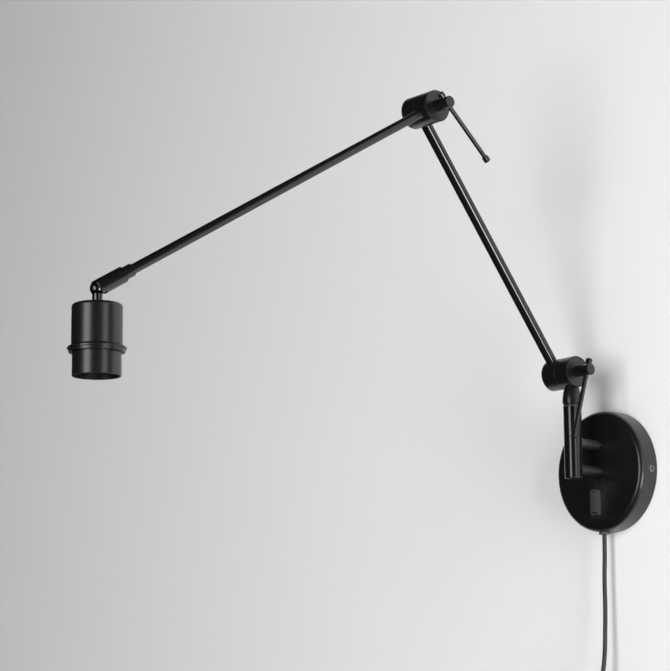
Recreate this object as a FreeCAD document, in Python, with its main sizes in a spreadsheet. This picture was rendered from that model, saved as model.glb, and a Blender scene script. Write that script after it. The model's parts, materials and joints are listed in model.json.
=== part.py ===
import FreeCAD, Part
import Sketcher
import math
import os
import re

# Articulating wall lamp: a round wall canopy, a short post, two clamped knuckles with tommy bars,
# two arms and a ball-jointed lampholder. Millimetres, Z up. The wall is the plane y = 0, the lamp
# stands out from it towards -Y, and the origin is the middle of the canopy's back.

V = FreeCAD.Vector
X, Y, Z = V(1, 0, 0), V(0, 1, 0), V(0, 0, 1)
EPS = 1e-6

doc = FreeCAD.newDocument("wall_lamp")

# ---------------------------------------------------------------- driving dimensions
SIZES = {
    # canopy and the plate it is screwed to
    "canopy_dia": 120, "canopy_depth": 21.5, "canopy_wall": 1.5, "canopy_round": 6,
    "plate_gap": 0.3, "plate_thick": 2, "plate_rim": 1.5, "plate_rim_depth": 12,
    "wall_screw_spacing": 80, "wall_screw_hole": 5.2, "outlet_notch": 16,
    "grub_dia": 7.6, "grub_hole_gap": 0.2, "grub_length": 5, "grub_back": 6.2, "grub_z": -1.9,
    "grub_sunk": 0.4, "grub_socket_dia": 3.4, "grub_socket": 2, "rim_hole": 6,
    "block_length": 30, "block_height": 18, "block_depth": 10, "block_from_rim": 35,
    "block_z": -26, "block_wire_dia": 4, "block_wire_spacing": 12,
    # rocker switch
    "switch_width": 9.2, "switch_height": 25.4, "switch_x": -2, "switch_from_rim": 29,
    "switch_corner": 2.2, "bezel_proud": 5.2, "switch_body_width": 8.4, "switch_body_height": 23.6,
    "switch_body_depth": 10, "cutout_gap": 0.2, "well_width": 7.2, "well_height": 22, "well_depth": 9.8,
    "rocker_width": 6.6, "rocker_height": 20.4, "rocker_crown": 6, "rocker_dip": 0.6,
    "rocker_side": 0.5, "rocker_foot": 4, "rocker_foot_depth": 3.5, "rocker_pivot": 1, "rocker_tilt": 4.5,
    "pivot_dia": 1.6, "pivot_gap": 0.05, "pivot_short": 0.1,
    # cord outlet
    "gland_back": 13, "gland_x": -1.9, "gland_flange_dia": 11, "gland_flange": 2.4,
    "gland_edge": 0.5, "gland_dia": 7, "gland_inner": 10, "gland_hole_gap": 0.1, "gland_nut_dia": 10,
    "gland_nut": 3, "gland_nut_below": 3.4,
    # standoffs and post
    "post_back": 54.5, "post_dia": 18, "post_wall": 1.5, "post_bottom": -9.6, "post_top": 61.5,
    "post_cap": 1.5, "post_cap_spigot": 4, "post_cap_edge": 0.5,
    "standoff_dia": 10, "standoff_bore": 5, "upper_standoff_z": 26, "lower_standoff_z": 0,
    "standoff_collar_dia": 11.6, "standoff_collar": 1.2, "saddle_gap": 0.05,
    "screw_gap": 0.05, "screw_head_dia": 9, "screw_head": 3, "screw_edge": 0.8,
    "screw_length": 13, "screw_hole_spare": 2,
    "nipple_dia": 8, "nipple_sunk": 6, "nipple_length": 12, "nipple_nut_dia": 13, "nipple_nut": 3,
    # swivel on top of the post
    "bush_flange": 1.6, "bush_depth": 12, "bush_gap": 0.1, "washer_dia": 16.4, "washer_thick": 1.2,
    "spigot_dia": 9.8, "spigot_bore": 6.4, "turn_gap": 0.1, "swivel_nut_dia": 14, "swivel_nut": 5,
    "spigot_end": 1, "adapter_dia": 19.2, "adapter_edge": 0.8, "adapter_straight": 2.5,
    "adapter_dome_radius": 39, "adapter_top": 85,
    # knuckles
    "knuckle_dia": 31, "half_thick": 17.6, "knuckle_z": 96.2, "end_edge": 0.35, "seam_edge": 0.4,
    "friction_thick": 0.6, "friction_dia": 30.6, "chamber_dia": 23, "hub_dia": 13.6, "chamber_depth": 11,
    "bolt_dia": 8, "bolt_gap": 0.1, "bolt_short": 0.3, "bolt_head_dia": 11.4, "bolt_head": 19,
    "bolt_edge": 0.6, "nut_flats": 13, "nut_thick": 4, "nut_gap": 0.15, "nut_pocket": 4.3,
    "bar_dia": 4.4, "bar_gap": 0.1, "bar_from_end": 5.5, "bar_span": 78, "bar_near": 8.9,
    "bar_cap_dia": 6.6, "bar_cap": 5.4, "bar_cap_wall": 1.4, "bar_cap_edge": 0.7, "bar_cap_gap": 0.05,
    "lower_bar_tilt": 16.8, "elbow_bar_tilt": -45.8,
    # arms
    "lower_arm": 300, "lower_arm_tilt": 53.7, "lower_tube_dia": 11, "lower_tube_wall": 1,
    "upper_arm": 436, "upper_arm_tilt": -30.4, "upper_tube_dia": 9, "upper_tube_wall": 1,
    "socket_gap": 0.1, "tube_end": 12, "lead_dia": 4.2, "lead_gap": 0.3, "lead_short": 3,
    # ball joint, lengths from the ball's centre
    "sleeve_dia": 14.6, "sleeve_back": 29.6, "sleeve_front": 1.5, "sleeve_edge": 0.5,
    "reducer_dia": 11.6, "reducer_length": 10.3, "reducer_spigot": 8, "reducer_spigot_dia": 11,
    "reducer_edge": 0.4, "arm_overlap": 15, "arm_end_room": 0.5, "sleeve_wire_bore": 6,
    "ball_dia": 13.2, "ball_gap": 0.08, "neck_dia": 8.9, "slot_gap": 0.3, "slot_back": 5.2,
    "neck_length": 13.3, "neck_flange_dia": 11.4, "neck_flange": 1.3, "stud_dia": 8, "stud_length": 9,
    "stud_bore": 4, "stud_nut_flats": 13, "stud_nut": 4,
    # lampholder, lengths down from the top of the cup
    "cup_step": 0.85, "cup_wall": 1.3, "cup_top": 1.6, "cup_round": 3, "cup_length": 35.7,
    "collar_dia": 41.8, "collar_wall": 1.4, "collar_end": 61.9, "collar_edge": 0.3,
    "collar_thread": 8, "collar_thread_gap": 0.2, "collar_relief": 0.5,
    "ring_gap": 0.3, "ring_top": 0.3, "ring_flare": 1.7, "ring_out": 4.25, "ring_band": 1.6,
    "skirt_out": 3.1, "ring_length": 6,
    "core_gap": 0.3, "core_top": 16, "core_floor": 8, "core_end": 54.4, "core_bore": 28.4,
    "core_wire_dia": 5, "shell_bore": 24.8, "shell_wall": 0.5, "shell_pitch": 3.6, "shell_groove": 0.9,
    "shell_flat": 0.8, "shell_turns": 6, "shell_gap": 0.4,
    "contact_width": 6, "contact_thick": 0.6, "contact_rise": 5, "contact_length": 16,
    # cord, coil and plug
    "cord_dia": 4.4, "cord_length": 1800, "coil_pitch": 5.1, "coil_layers": 4, "coil_turns": 10,
    "coil_x": 9, "coil_z": -255, "coil_back": 8.5, "coil_start": 150, "coil_end": 180,
    "tie_width": 6, "tie_thick": 1.2, "tie_gap": 0.6, "tie_angle": 60,
    "plug_width": 35.3, "plug_thick": 13.7, "plug_length": 33, "plug_corner": 8, "plug_tail": 28,
    "plug_tail_dia": 9, "plug_tail_tip": 5, "plug_tail_in": 4,
    "pin_dia": 4, "pin_length": 19, "pin_spacing": 18.6, "pin_tip": 1,
}

sheet = doc.addObject("Spreadsheet::Sheet", "Sizes")
for row, (name, value) in enumerate(SIZES.items(), start=1):
    sheet.set(f"A{row}", name)
    sheet.set(f"B{row}", str(value))
    sheet.setAlias(f"B{row}", name)
doc.recompute()


def cells(text):
    """Turn the words that name a cell into references to the sheet."""
    return re.sub(r"[a-z_]+", lambda m: "Sizes." + m[0] if m[0] in SIZES else m[0], str(text))


def size(text):
    """The value of an expression in the sheet's words."""
    value = sheet.evalExpression(cells(text))
    return float(getattr(value, "Value", value))


def bind(obj, **properties):
    """Set each property from the sheet and keep it tied to its cells."""
    for name, text in properties.items():
        setattr(obj, name, size(text))
        obj.setExpression(name, cells(text))


# ---------------------------------------------------------------- ways of making a piece
PARTS = []


def frame_at(origin, x_dir, z_dir):
    """Placement whose local X and Z point along the given directions."""
    return FreeCAD.Placement(origin, FreeCAD.Rotation(x_dir, z_dir.cross(x_dir), z_dir, "ZXY"))


def piece(label, placement):
    """An empty body that will be written as one sub-part."""
    made = doc.addObject("PartDesign::Body", label)
    made.Label = label
    made.Placement = placement
    PARTS.append(made)
    return made


def outline(owner, role, corners):
    """A closed sketch on one of the body's origin planes. Each corner is (x, y) in the sheet's words,
    with a third word, the radius, where the side that leaves it is an arc that bulges outwards."""
    made = owner.newObject("Sketcher::SketchObject", "outline")
    plane = next(item for item in owner.Origin.OriginFeatures if item.Role == role)
    made.AttachmentSupport = [(plane, "")]
    made.MapMode = "FlatFace"
    points = [V(size(c[0]), size(c[1]), 0) for c in corners]
    ends = []
    for index, corner in enumerate(corners):
        start, stop = points[index], points[(index + 1) % len(points)]
        if len(corner) == 2:
            made.addGeometry(Part.LineSegment(start, stop), False)
            ends.append((1, 2))
            continue
        half = (stop - start) / 2
        radius = size(corner[2])
        rise = radius - math.sqrt(radius ** 2 - half.Length ** 2)
        side = V(half.y, -half.x, 0).normalize()
        made.addGeometry(Part.Arc(start, start + half + side * rise, stop), False)
        ends.append((1, 2) if (made.getPoint(index, 1) - start).Length < 1e-4 else (2, 1))
    for index, corner in enumerate(corners):
        before = (index - 1) % len(corners)
        here = ends[index][0]
        made.addConstraint(Sketcher.Constraint("Coincident", before, ends[before][1], index, here))
        for kind, text, value in (("DistanceX", corner[0], points[index].x),
                                  ("DistanceY", corner[1], points[index].y)):
            made.addConstraint(Sketcher.Constraint(kind, -1, 1, index, here, value))
            made.setExpression(f"Constraints[{made.ConstraintCount - 1}]", cells(text))
        if len(corner) == 3:
            made.addConstraint(Sketcher.Constraint("Radius", index, size(corner[2])))
            made.setExpression(f"Constraints[{made.ConstraintCount - 1}]", cells(corner[2]))
    return made


def turned(label, placement, corners):
    """A body of revolution about its local Z from an outline of (radius, height) corners."""
    made = piece(label, placement)
    turn = made.newObject("PartDesign::Revolution", "turning")
    turn.Profile = outline(made, "XZ_Plane", corners)
    turn.ReferenceAxis = (turn.Profile[0], ["V_Axis"])
    turn.Angle = 360
    return made


def tube(label, placement, outer, inner, low, high):
    """A plain tube along local Z, by outer and inner radius."""
    return turned(label, placement, [(inner, low), (outer, low), (outer, high), (inner, high)])


def local(base, direction, x_dir=None):
    """Placement of a feature inside its body, with its own Z along direction."""
    base = V(*[size(b) for b in base])
    if x_dir is None:
        return FreeCAD.Placement(base, FreeCAD.Rotation(Z, direction))
    return frame_at(base, x_dir, direction)


def drill(owner, base, direction, radius, length):
    """A round hole that starts at base and runs along direction."""
    cut = owner.newObject("PartDesign::SubtractiveCylinder", "hole")
    bind(cut, Radius=radius, Height=length)
    cut.Placement = local(base, direction)
    return cut


def rod(owner, base, direction, radius, length):
    """A round bar added to the body."""
    add = owner.newObject("PartDesign::AdditiveCylinder", "rod")
    bind(add, Radius=radius, Height=length)
    add.Placement = local(base, direction)
    return add


def block(owner, kind, centre, lengths):
    """A box added to ("Additive") or cut from ("Subtractive") the body, about its centre."""
    made = owner.newObject(f"PartDesign::{kind}Box", "block")
    bind(made, Length=lengths[0], Width=lengths[1], Height=lengths[2])
    corner = [f"({c}) - ({length}) / 2" for c, length in zip(centre, lengths)]
    made.Placement = FreeCAD.Placement(V(*[size(c) for c in corner]), FreeCAD.Rotation())
    return made


def hexagon(owner, kind, base, flats, height):
    """A hexagonal prism along local Z, by its width across flats."""
    made = owner.newObject(f"PartDesign::{kind}Prism", "hexagon")
    made.Polygon = 6
    bind(made, Circumradius=f"({flats}) / sqrt(3)", Height=height)
    made.Placement = local(base, Z)
    return made


def dress(owner, kind, wanted, **sizes):
    """Fillet or chamfer the edges that wanted() picks."""
    doc.recompute()
    tip = owner.Tip
    names = [f"Edge{i}" for i, edge in enumerate(tip.Shape.Edges, start=1) if wanted(edge)]
    made = owner.newObject(f"PartDesign::{kind}", kind.lower())
    made.Base = (tip, names)
    bind(made, **sizes)
    return made


def circle_at(radius, height):
    """Picks a full circular edge by its radius and its height along local Z."""
    r, h = size(radius), size(height)

    def wanted(edge):
        curve = edge.Curve
        return (isinstance(curve, Part.Circle) and abs(curve.Radius - r) < 1e-4
                and abs(curve.Center.z - h) < 1e-4 and len(edge.Vertexes) == 1)
    return wanted


def along(direction, far=None):
    """Picks straight edges along a direction, outside a radius from the local Z axis if one is given."""
    def wanted(edge):
        if not isinstance(edge.Curve, Part.Line):
            return False
        middle = edge.CenterOfMass
        if far is not None and math.hypot(middle.x, middle.y) < far:
            return False
        return abs(abs(edge.Curve.Direction.dot(direction)) - 1) < EPS
    return wanted


def group(label, members):
    """Several separate solids that share one sub-part."""
    for member in members:
        PARTS.remove(member)
    made = doc.addObject("Part::Compound", label)
    made.Label = label
    made.Links = members
    PARTS.append(made)
    return made


# ---------------------------------------------------------------- where things are
def tilted(degrees):
    """Unit vector in the lamp's own plane, that many degrees above straight out from the wall."""
    angle = math.radians(degrees)
    return V(0, -math.cos(angle), math.sin(angle))


OUT = -Y
WALL = frame_at(V(0, 0, 0), X, OUT)
POST = frame_at(V(0, -size("post_back"), 0), X, Z)
LOWER_PIN = V(0, -size("post_back"), size("knuckle_z"))
LOWER_ARM = tilted(size("lower_arm_tilt"))
ELBOW_PIN = LOWER_PIN + LOWER_ARM * size("lower_arm")
UPPER_ARM = tilted(size("upper_arm_tilt"))
BALL = ELBOW_PIN + UPPER_ARM * size("upper_arm")
RIGHT_SEAM = X * -size("half_thick / 2")
LEFT_SEAM = RIGHT_SEAM - X * size("friction_thick")
LEFT_PLANE = LEFT_SEAM - X * size("half_thick / 2")


# ---------------------------------------------------------------- canopy
def make_canopy():
    radius = "canopy_dia / 2"
    inner = "canopy_dia / 2 - canopy_wall"
    back = "canopy_depth - canopy_wall"
    cover = turned("canopy_cover", WALL, [
        ("0", back), (inner, back), (inner, "0"), (radius, "0"), (radius, "canopy_depth"),
        ("0", "canopy_depth")])
    dress(cover, "Fillet", circle_at(radius, "canopy_depth"), Radius="canopy_round")
    dress(cover, "Fillet", circle_at(inner, back), Radius="canopy_round - canopy_wall")
    through = "canopy_wall + 2"
    drill(cover, ("0", "upper_standoff_z", f"{back} - 1"), Z, "standoff_bore / 2 + 0.1", through)
    drill(cover, ("0", "lower_standoff_z", f"{back} - 1"), Z, "nipple_dia / 2 + 0.1", through)
    block(cover, "Subtractive", ("switch_x", SWITCH_Z, "canopy_depth"),
          ("switch_body_width + 2 * cutout_gap", "switch_body_height + 2 * cutout_gap", "3 * canopy_wall"))
    drill(cover, ("gland_x", "rim_hole / 2 - canopy_dia / 2", "gland_back"), -Y,
          "gland_dia / 2 + gland_hole_gap", "rim_hole")
    for side in (1, -1):
        drill(cover, (f"{side} * (canopy_dia / 2 - 4)", f"{side} * grub_z", "grub_back"), X * side,
              "grub_dia / 2 + grub_hole_gap", "rim_hole")

    rim = "canopy_dia / 2 - canopy_wall - plate_gap"
    plate = turned("wall_plate", WALL, [
        ("0", "0"), (rim, "0"), (rim, "plate_rim_depth"), (f"{rim} - plate_rim", "plate_rim_depth"),
        (f"{rim} - plate_rim", "plate_thick"), ("0", "plate_thick")])
    for side in (1, -1):
        drill(plate, (f"{side} * wall_screw_spacing / 2", "0", "-1"), Z, "wall_screw_hole / 2",
              "plate_thick + 2")
        drill(plate, (f"{side} * (canopy_dia / 2 - rim_hole)", f"{side} * grub_z", "grub_back"), X * side,
              "grub_dia / 2 + grub_hole_gap", "rim_hole")
    block(plate, "Subtractive", ("0", "-canopy_dia / 2", "plate_thick + plate_rim_depth / 2"),
          ("outlet_notch", "outlet_notch", "plate_rim_depth"))

    grubs = []
    for side in (1, -1):
        grub = turned(f"grub_screw_{len(grubs) + 1}",
                      frame_at(V(side * size("canopy_dia / 2 - grub_sunk"), -size("grub_back"),
                                 side * size("grub_z")), Z, -X * side),
                      [("0", "grub_socket"), ("grub_socket_dia / 2", "grub_socket"),
                       ("grub_socket_dia / 2", "0"), ("grub_dia / 2", "0"), ("grub_dia / 2", "grub_length"),
                       ("0", "grub_length")])
        grubs.append(grub)
    group("canopy_grub_screws", grubs)

    terminal = piece("terminal_block", WALL)
    middle = "plate_thick + block_depth / 2"
    block_x = "canopy_dia / 2 - block_from_rim"
    block(terminal, "Additive", (block_x, "block_z", middle), ("block_length", "block_height", "block_depth"))
    for side in (1, -1):
        at_x = f"{block_x} + {side} * block_wire_spacing / 2"
        drill(terminal, (at_x, "block_z - block_height / 2 - 1", middle), Y, "block_wire_dia / 2",
              "block_height + 2")
        drill(terminal, (at_x, "block_z", middle), Z, "block_wire_dia / 2", "block_depth")


# ---------------------------------------------------------------- rocker switch
SWITCH_Z = "switch_from_rim - canopy_dia / 2"


def make_switch():
    """The housing drops through the canopy's face from the front, so its bezel is part of it."""
    housing = piece("switch_housing", WALL)
    block(housing, "Additive", ("switch_x", SWITCH_Z, "canopy_depth + bezel_proud / 2"),
          ("switch_width", "switch_height", "bezel_proud"))
    dress(housing, "Fillet", along(Z), Radius="switch_corner")
    block(housing, "Additive", ("switch_x", SWITCH_Z, "canopy_depth - switch_body_depth / 2"),
          ("switch_body_width", "switch_body_height", "switch_body_depth"))
    block(housing, "Subtractive", ("switch_x", SWITCH_Z, "canopy_depth + bezel_proud - well_depth / 2"),
          ("well_width", "well_height", "well_depth"))
    drill(housing, ("switch_x - switch_body_width", SWITCH_Z, "canopy_depth - rocker_pivot"), X,
          "pivot_dia / 2 + pivot_gap", "2 * switch_body_width")

    pivot = V(size("switch_x"), -size("canopy_depth - rocker_pivot"), size(SWITCH_Z))
    tilt = FreeCAD.Rotation(X, -size("rocker_tilt"))
    rocker = piece("switch_rocker", FreeCAD.Placement(pivot, tilt.multiply(frame_at(V(), X, OUT).Rotation)))
    crown = "rocker_crown + rocker_pivot"
    foot = "rocker_pivot - rocker_foot_depth"
    pad = rocker.newObject("PartDesign::Pad", "key")
    pad.Profile = outline(rocker, "YZ_Plane", [
        ("-rocker_height / 2", "rocker_side"), ("-rocker_foot", foot), ("rocker_foot", foot),
        ("rocker_height / 2", "rocker_side"), ("rocker_height / 2", crown), ("0", f"{crown} - rocker_dip"),
        ("-rocker_height / 2", crown)])
    pad.Midplane = True
    bind(pad, Length="rocker_width")
    rod(rocker, ("pivot_short - switch_body_width / 2", "0", "0"), X, "pivot_dia / 2",
        "switch_body_width - 2 * pivot_short")


# ---------------------------------------------------------------- cord outlet
def make_gland():
    at = frame_at(V(size("gland_x"), -size("gland_back"), -size("canopy_dia / 2")), X, Z)
    turned("cord_gland", at, [
        ("0", "-gland_flange"), ("gland_flange_dia / 2 - gland_edge", "-gland_flange"),
        ("gland_flange_dia / 2", "gland_edge - gland_flange"), ("gland_flange_dia / 2", "0"),
        ("gland_dia / 2", "0"), ("gland_dia / 2", "gland_inner"), ("0", "gland_inner")])
    tube("gland_nut", at, "gland_nut_dia / 2", "gland_dia / 2 + screw_gap", "gland_nut_below",
         "gland_nut_below + gland_nut")


# ---------------------------------------------------------------- standoffs and post
def make_post():
    reach = "post_back - canopy_depth"
    collar = f"{reach} - post_dia / 2 - standoff_collar"
    for name in ("upper", "lower"):
        at = frame_at(V(0, -size("canopy_depth"), size(f"{name}_standoff_z")), X, OUT)
        stand = turned(f"{name}_standoff", at, [
            ("0", "0"), ("standoff_dia / 2", "0"), ("standoff_dia / 2", collar),
            ("standoff_collar_dia / 2", collar), ("standoff_collar_dia / 2", reach), ("0", reach)])
        drill(stand, ("0", "-canopy_dia", reach), Y, "post_dia / 2 + saddle_gap", "2 * canopy_dia")
        if name == "upper":
            drill(stand, ("0", "0", "-1"), Z, "standoff_bore / 2", "screw_length")
        else:
            drill(stand, ("0", "0", "-1"), Z, "standoff_bore / 2", reach)
            drill(stand, ("0", "0", "-1"), Z, "nipple_dia / 2 + screw_gap", "nipple_sunk + 1")

    inside = -size("canopy_depth - canopy_wall")
    shank = "standoff_bore / 2 - screw_gap"
    shank_end = "canopy_wall + screw_length - screw_hole_spare"
    turned("standoff_screw", frame_at(V(0, inside, size("upper_standoff_z")), X, OUT), [
        ("0", "-screw_head"), ("screw_head_dia / 2 - screw_edge", "-screw_head"),
        ("screw_head_dia / 2", "screw_edge - screw_head"), ("screw_head_dia / 2", "0"), (shank, "0"),
        (shank, shank_end), ("0", shank_end)])
    low = frame_at(V(0, inside, size("lower_standoff_z")), X, OUT)
    tube("wire_nipple", low, "nipple_dia / 2", "standoff_bore / 2",
         "canopy_wall + nipple_sunk - nipple_length", "canopy_wall + nipple_sunk")
    tube("nipple_nut", low, "nipple_nut_dia / 2", "nipple_dia / 2 + screw_gap", "-nipple_nut", "0")

    bore = "post_dia / 2 - post_wall"
    post = tube("post_tube", POST, "post_dia / 2", bore, "post_bottom + post_cap", "post_top")
    drill(post, ("0", "0", "lower_standoff_z"), Y, "standoff_bore / 2", "post_dia")
    turned("post_end_cap", POST, [
        ("0", "post_bottom"), ("post_dia / 2 - post_cap_edge", "post_bottom"),
        ("post_dia / 2", "post_bottom + post_cap_edge"),
        ("post_dia / 2", "post_bottom + post_cap"), (f"{bore} - bush_gap", "post_bottom + post_cap"),
        (f"{bore} - bush_gap", "post_bottom + post_cap + post_cap_spigot"),
        ("0", "post_bottom + post_cap + post_cap_spigot")])


# ---------------------------------------------------------------- swivel
def make_swivel():
    turning = "spigot_dia / 2 + turn_gap"
    sleeve = "post_dia / 2 - post_wall - bush_gap"
    turned("swivel_bush", POST, [
        (turning, "post_top - bush_depth"), (sleeve, "post_top - bush_depth"), (sleeve, "post_top"),
        ("post_dia / 2", "post_top"), ("post_dia / 2", "post_top + bush_flange - 0.4"),
        ("post_dia / 2 - 0.4", "post_top + bush_flange"), (turning, "post_top + bush_flange")])
    washer = "post_top + bush_flange"
    tube("swivel_washer", POST, "washer_dia / 2", turning, washer, f"{washer} + washer_thick")

    seat = f"{washer} + washer_thick"
    dome = f"{seat} + adapter_straight"
    outer = "adapter_dia / 2"
    tip = f"{outer} - adapter_dome_radius + sqrt(adapter_dome_radius ^ 2 - (adapter_top - ({dome})) ^ 2)"
    adapter = turned("swivel_adapter", POST, [
        ("0", seat), (f"{outer} - adapter_edge", seat), (outer, f"{seat} + adapter_edge"),
        (outer, dome, "adapter_dome_radius"), (tip, "adapter_top"), ("0", "adapter_top")])
    drill(adapter, ("-canopy_dia", "0", "knuckle_z"), X, "knuckle_dia / 2 + saddle_gap", "2 * canopy_dia")
    foot = "post_top - bush_depth - swivel_nut - spigot_end"
    head = "knuckle_z - tube_end"
    rod(adapter, ("0", "0", foot), Z, "spigot_dia / 2", f"{head} - ({foot})")
    drill(adapter, ("0", "0", f"{foot} - 1"), Z, "spigot_bore / 2", f"{head} - ({foot}) + 2")
    tube("swivel_nut", POST, "swivel_nut_dia / 2", "spigot_dia / 2 + screw_gap",
         "post_top - bush_depth - swivel_nut", "post_top - bush_depth")


# ---------------------------------------------------------------- knuckles
def make_half(label, placement, stem, nut_pocket):
    """Half of a knuckle: local Z runs from the seam to the outer end, local X along its arm. The
    wires pass from the arm's hole into the round chamber beside the hub."""
    radius = "knuckle_dia / 2"
    bore = "bolt_dia / 2 + bolt_gap"
    half = turned(label, placement, [
        (bore, "0"), ("hub_dia / 2", "0"), ("hub_dia / 2", "chamber_depth"),
        ("chamber_dia / 2", "chamber_depth"), ("chamber_dia / 2", "0"), (f"{radius} - seam_edge", "0"),
        (radius, "seam_edge"), (radius, "half_thick - end_edge"), (f"{radius} - end_edge", "half_thick"),
        (bore, "half_thick")])
    drill(half, ("chamber_dia / 2 - 1", "0", "half_thick / 2"), X, f"{stem} / 2 + socket_gap", radius)
    if nut_pocket:
        hexagon(half, "Subtractive", ("0", "0", "half_thick - nut_pocket"), "nut_flats + 2 * nut_gap",
                "nut_pocket + 1")


def make_clamp(name, pin, stem_way, bar_tilt):
    """What squeezes a knuckle: washer, nut, bolt and the tommy bar through the bolt's head. The nut
    sits in the pocket of the half whose arm points along stem_way."""
    tube(f"{name}_friction_washer", frame_at(pin + LEFT_SEAM, Y, X), "friction_dia / 2",
         "bolt_dia / 2 + bolt_gap", "0", "friction_thick")

    nut = piece(f"{name}_clamp_nut", frame_at(pin + LEFT_SEAM, stem_way, -X))
    floor = "half_thick - nut_pocket"
    hexagon(nut, "Additive", ("0", "0", floor), "nut_flats", "nut_thick")
    drill(nut, ("0", "0", f"{floor} - 1"), Z, "bolt_dia / 2 + bolt_gap", "nut_thick + 2")

    down = FreeCAD.Rotation(X, -size(bar_tilt)).multVec(-Z)
    shank = "bolt_short - 2 * half_thick - friction_thick"
    bolt = turned(f"{name}_clamp_bolt", frame_at(pin + X * size("half_thick / 2"), down, X), [
        ("0", shank), ("bolt_dia / 2", shank), ("bolt_dia / 2", "0"), ("bolt_head_dia / 2", "0"),
        ("bolt_head_dia / 2", "bolt_head - bolt_edge"), ("bolt_head_dia / 2 - bolt_edge", "bolt_head"),
        ("0", "bolt_head")])
    drill(bolt, ("-bolt_head", "0", "bolt_head - bar_from_end"), X, "bar_dia / 2 + bar_gap", "2 * bolt_head")

    at = frame_at(pin + X * size("half_thick / 2 + bolt_head - bar_from_end"), X, down)
    near, far = "-bar_near", "bar_span - bar_near"
    grip = "bar_cap / 2 - bar_cap_wall"
    turned(f"{name}_tommy_bar", at, [
        ("0", f"{near} - ({grip})"), ("bar_dia / 2", f"{near} - ({grip})"),
        ("bar_dia / 2", f"{far} + {grip}"), ("0", f"{far} + {grip}")])
    caps = []
    for end, (middle, sign) in enumerate(((near, -1), (far, 1)), start=1):
        cap = frame_at(at.multVec(V(0, 0, size(middle))), X, down * sign)
        hole = "bar_dia / 2 + bar_cap_gap"
        caps.append(turned(f"{name}_bar_cap_{end}", cap, [
            ("0", grip), (hole, grip), (hole, "-bar_cap / 2"), ("bar_cap_dia / 2", "-bar_cap / 2"),
            ("bar_cap_dia / 2", "bar_cap / 2 - bar_cap_edge"),
            ("bar_cap_dia / 2 - bar_cap_edge", "bar_cap / 2"), ("0", "bar_cap / 2")]))
    group(f"{name}_bar_caps", caps)


def make_knuckles():
    make_half("lower_knuckle_base_half", frame_at(LOWER_PIN + RIGHT_SEAM, -Z, X), "spigot_dia", False)
    make_half("lower_knuckle_arm_half", frame_at(LOWER_PIN + LEFT_SEAM, LOWER_ARM, -X), "lower_tube_dia",
              True)
    make_clamp("lower", LOWER_PIN, LOWER_ARM, "lower_bar_tilt")
    make_half("elbow_lower_half", frame_at(ELBOW_PIN + LEFT_SEAM, -LOWER_ARM, -X), "lower_tube_dia", True)
    make_half("elbow_upper_half", frame_at(ELBOW_PIN + RIGHT_SEAM, UPPER_ARM, X), "upper_tube_dia", False)
    make_clamp("elbow", ELBOW_PIN, -LOWER_ARM, "elbow_bar_tilt")


# ---------------------------------------------------------------- arms and the lead inside them
def make_arms():
    at = frame_at(LOWER_PIN + LEFT_PLANE, X, LOWER_ARM)
    tube("lower_arm_tube", at, "lower_tube_dia / 2", "lower_tube_dia / 2 - lower_tube_wall",
         "tube_end", "lower_arm - tube_end")
    lead = piece("lower_arm_lead", at)
    rest = "lower_tube_dia / 2 - lower_tube_wall - lead_dia / 2 - lead_gap"
    rod(lead, ("0", rest, "tube_end + lead_short"), Z, "lead_dia / 2",
        "lower_arm - 2 * (tube_end + lead_short)")

    at = frame_at(ELBOW_PIN, X, UPPER_ARM)
    end = "upper_arm - sleeve_back + arm_overlap"
    tube("upper_arm_tube", at, "upper_tube_dia / 2", "upper_tube_dia / 2 - upper_tube_wall", "tube_end", end)
    lead = piece("upper_arm_lead", at)
    rest = "upper_tube_dia / 2 - upper_tube_wall - lead_dia / 2 - lead_gap"
    rod(lead, ("0", rest, "tube_end + lead_short"), Z, "lead_dia / 2",
        f"{end} - tube_end - 2 * lead_short")

    lead = piece("post_lead", POST)
    rest = "post_dia / 2 - post_wall - lead_dia / 2 - lead_gap"
    low = "lower_standoff_z + standoff_bore"
    rod(lead, ("0", rest, low), Z, "lead_dia / 2", f"post_top - bush_depth - swivel_nut - 2 - ({low})")


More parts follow.
